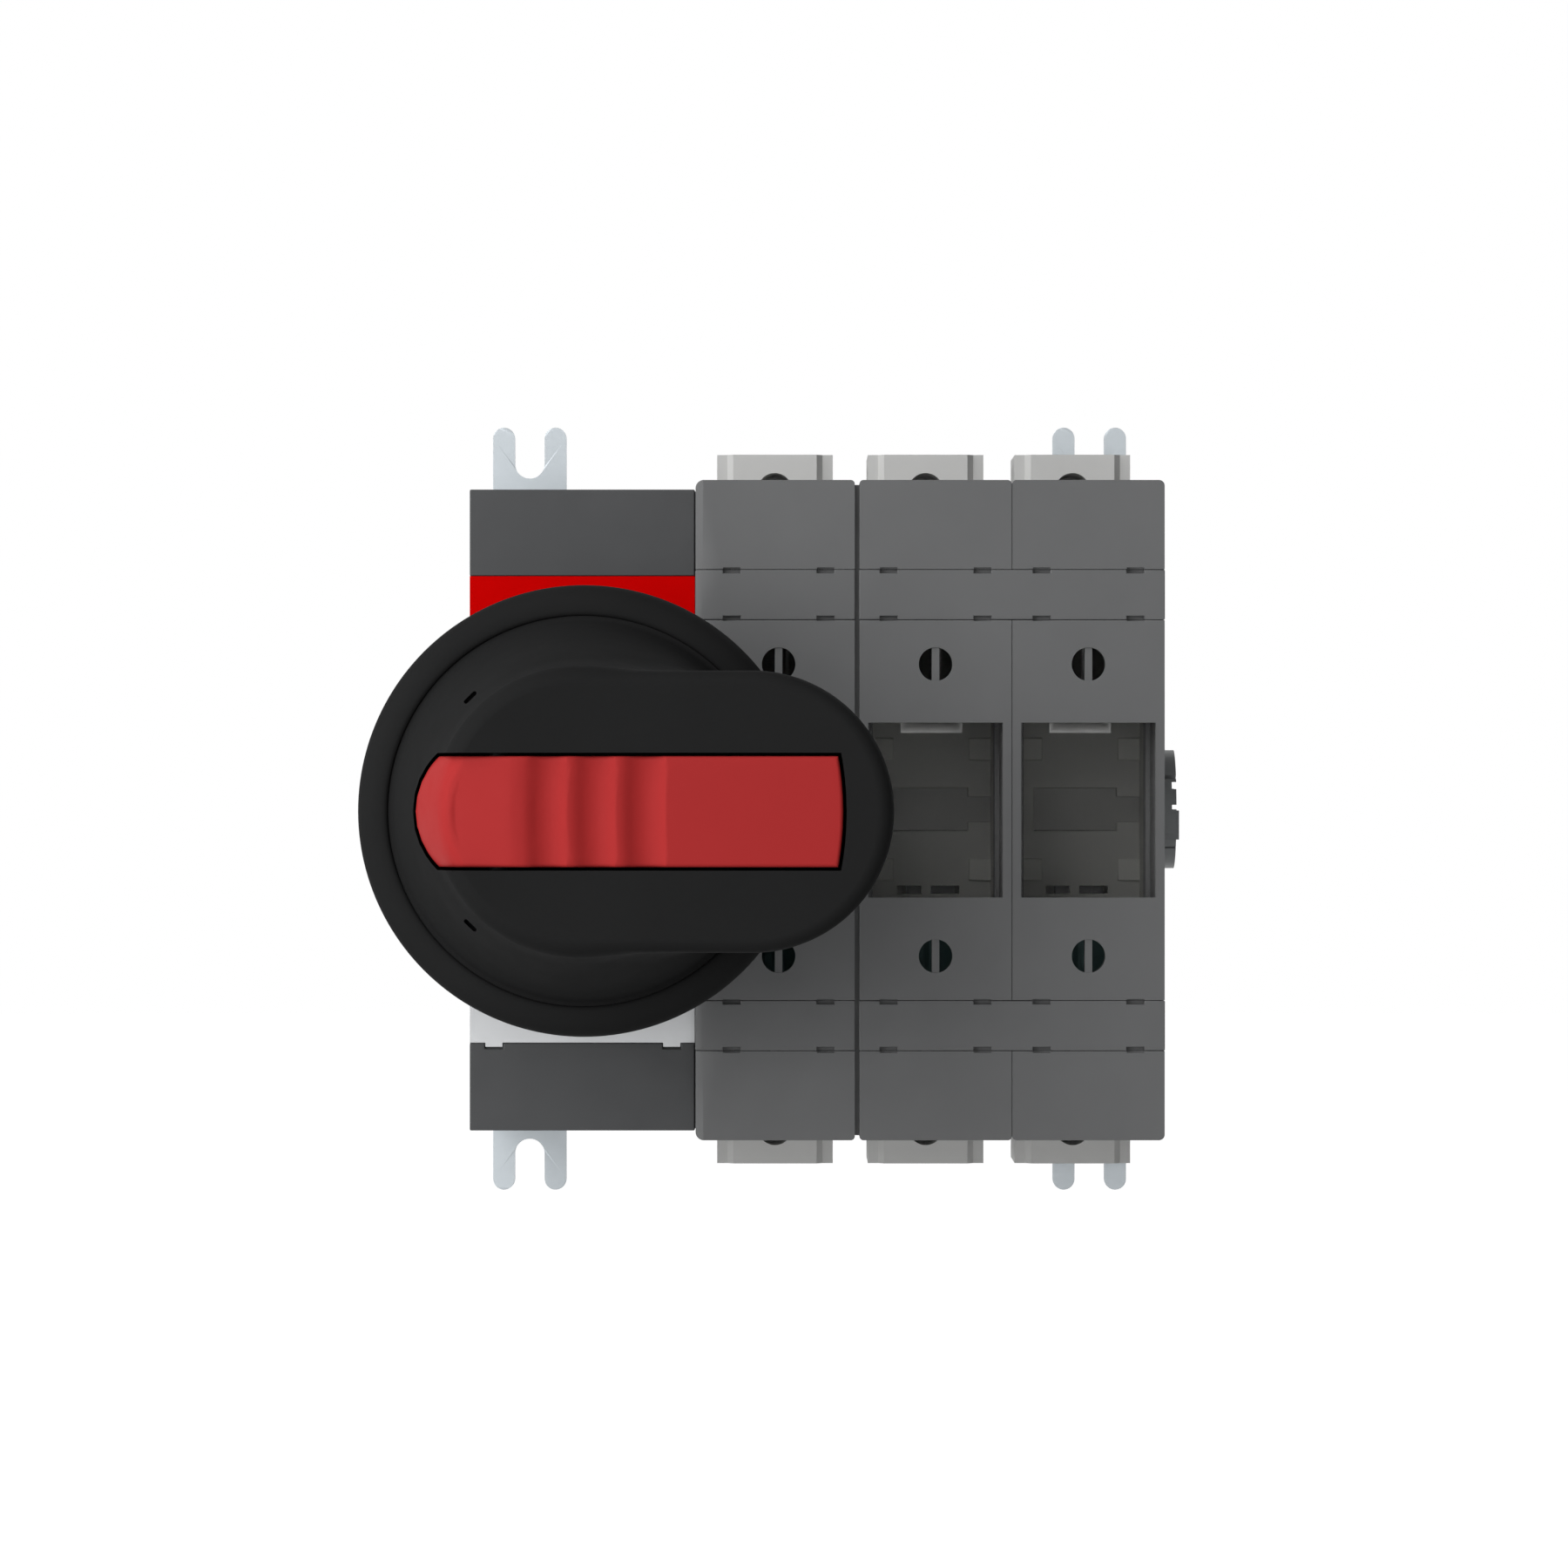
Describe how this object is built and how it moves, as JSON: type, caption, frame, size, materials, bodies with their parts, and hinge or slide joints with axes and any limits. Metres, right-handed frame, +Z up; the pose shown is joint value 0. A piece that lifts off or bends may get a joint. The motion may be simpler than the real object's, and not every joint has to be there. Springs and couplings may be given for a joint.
{
  "type": "switch fuse",
  "caption": "Switch fuse for a back plate: mechanism, fuse poles with pull-off covers, terminals, and a rotary handle with a red padlock lever.",
  "frame": {"origin": "on the mounting plane, midway between the four mounting slots", "axes": "+X to the right seen from the front, +Y towards the wall, +Z up; the front faces -Y"},
  "size_m": [0.1416, 0.146, 0.1392],
  "materials": {
    "mechanism_plastic": "fine matt",
    "pole_plastic": "fine matt",
    "cover_plastic": "fine matt",
    "base_plastic": "matt",
    "label_silver": "satin film",
    "label_red": "satin film",
    "zinc_steel": "zinc plated",
    "screw_steel": "zinc plated",
    "silvered_copper": "silver plated copper",
    "bare_copper": "bare copper",
    "handle_black": "fine matt",
    "lever_red": "fine matt",
    "gear_plastic": "satin",
    "hub_plastic": "matt",
    "rubber": "matt",
    "clear_pane": "clear"
  },
  "bodies": {
    "base": {"mechanism_base": "mechanism_plastic", "mechanism_cover": "mechanism_plastic", "front_plate": "label_silver", "red_stripe": "label_red", "mounting_foot_left": "zinc_steel", "mounting_foot_right": "zinc_steel", "pole_housing_single": "pole_plastic", "pole_housing_double": "pole_plastic", "pole_base_1": "base_plastic", "terminal_cover_top_1": "cover_plastic", "terminal_cover_bottom_1": "cover_plastic", "line_bar_1": "silvered_copper", "load_bar_1": "silvered_copper", "line_clamp_1": "zinc_steel", "load_clamp_1": "zinc_steel", "fuse_clip_top_1": "silvered_copper", "fuse_clip_bottom_1": "silvered_copper", "pole_base_2": "base_plastic", "terminal_cover_top_2": "cover_plastic", "terminal_cover_bottom_2": "cover_plastic", "line_bar_2": "silvered_copper", "load_bar_2": "silvered_copper", "line_clamp_2": "zinc_steel", "load_clamp_2": "zinc_steel", "fuse_clip_top_2": "silvered_copper", "fuse_clip_bottom_2": "silvered_copper", "pole_base_3": "base_plastic", "terminal_cover_top_3": "cover_plastic", "terminal_cover_bottom_3": "cover_plastic", "line_bar_3": "silvered_copper", "load_bar_3": "silvered_copper", "line_clamp_3": "zinc_steel", "load_clamp_3": "zinc_steel", "fuse_clip_top_3": "silvered_copper", "fuse_clip_bottom_3": "silvered_copper", "clamp_screws": "screw_steel", "tie_bolts": "screw_steel", "handle_base_plate": "handle_black", "door_gasket": "rubber"},
    "handle": {"handle_grip": "handle_black", "handle_shaft": "screw_steel", "drive_gear": "gear_plastic", "retaining_ring": "screw_steel", "lever_pin": "screw_steel"},
    "lever": {"padlock_lever": "lever_red"},
    "shaft": {"cross_shaft": "gear_plastic", "driven_gear": "gear_plastic", "side_hub": "hub_plastic"},
    "carriage_1": {"contact_carriage_1": "gear_plastic", "moving_contacts_1": "bare_copper"},
    "cover_1": {"fuse_cover_1": "cover_plastic", "fuse_window_1": "clear_pane"},
    "carriage_2": {"contact_carriage_2": "gear_plastic", "moving_contacts_2": "bare_copper"},
    "cover_2": {"fuse_cover_2": "cover_plastic", "fuse_window_2": "clear_pane"},
    "carriage_3": {"contact_carriage_3": "gear_plastic", "moving_contacts_3": "bare_copper"},
    "cover_3": {"fuse_cover_3": "cover_plastic", "fuse_window_3": "clear_pane"}
  },
  "joints": [
    {"name": "handle_turn", "type": "hinge", "parent": "base", "child": "handle", "pos_m": [-0.0381, -0.112, 0], "axis": [0, 1, 0], "range_deg": [0, 90]},
    {"name": "lever_swing", "type": "hinge", "parent": "handle", "child": "lever", "pos_m": [-0.0516, -0.1332, 0], "axis": [0, 0, -1], "range_deg": [0, 25], "stiffness_Nm_per_rad": 0.08, "springref_deg": -11.46},
    {"name": "cross_turn", "type": "hinge", "parent": "base", "child": "shaft", "pos_m": [0, -0.0249, 0], "axis": [1, 0, 0], "range_deg": [0, 90]},
    {"name": "contact_slide_1", "type": "slide", "parent": "base", "child": "carriage_1", "axis": [0, 0, -1], "range_m": [0, 0.0095]},
    {"name": "contact_slide_2", "type": "slide", "parent": "base", "child": "carriage_2", "axis": [0, 0, -1], "range_m": [0, 0.0095]},
    {"name": "contact_slide_3", "type": "slide", "parent": "base", "child": "carriage_3", "axis": [0, 0, -1], "range_m": [0, 0.0095]},
    {"name": "cover_pull_1", "type": "slide", "parent": "base", "child": "cover_1", "axis": [0, -1, 0], "range_m": [0, 0.03]},
    {"name": "cover_pull_2", "type": "slide", "parent": "base", "child": "cover_2", "axis": [0, -1, 0], "range_m": [0, 0.03]},
    {"name": "cover_pull_3", "type": "slide", "parent": "base", "child": "cover_3", "axis": [0, -1, 0], "range_m": [0, 0.03]}
  ],
  "couplings": [
    {"joint": "cross_turn", "follows": "handle_turn", "ratio": 1},
    {"joint": "contact_slide_1", "follows": "handle_turn", "m_per_rad": 0.006},
    {"joint": "contact_slide_2", "follows": "handle_turn", "m_per_rad": 0.006},
    {"joint": "contact_slide_3", "follows": "handle_turn", "m_per_rad": 0.006}
  ]
}
